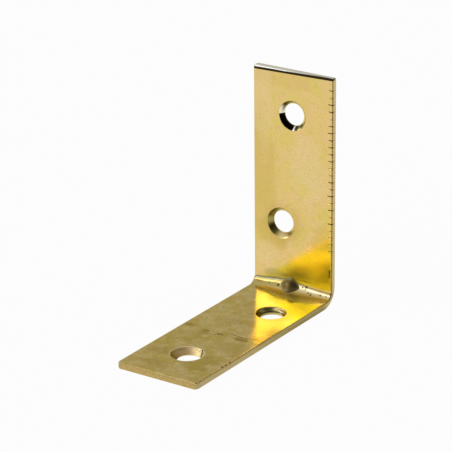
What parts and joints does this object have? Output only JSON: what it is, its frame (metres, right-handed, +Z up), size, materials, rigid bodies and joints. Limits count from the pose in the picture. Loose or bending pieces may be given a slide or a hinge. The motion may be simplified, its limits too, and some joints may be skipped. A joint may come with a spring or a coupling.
{
  "type": "corner brace bracket",
  "caption": "Right-angle corner brace folded from brass-plated steel strip, with staggered countersunk screw holes in each leg and a small pressed rib in the bend.",
  "frame": {"origin": "middle of the bracket's width and length, on the underside of the foot", "axes": "+Z up along the upright, -Y from the upright along the foot, +X across the strip, to the right seen from the foot's free end"},
  "size_m": [0.019, 0.05, 0.049],
  "materials": {
    "plated_steel": "bright brass-plated steel, satin to glossy, with shear nicks and light stains"
  },
  "bodies": {
    "root": {"bracket": "plated_steel"}
  },
  "joints": []
}
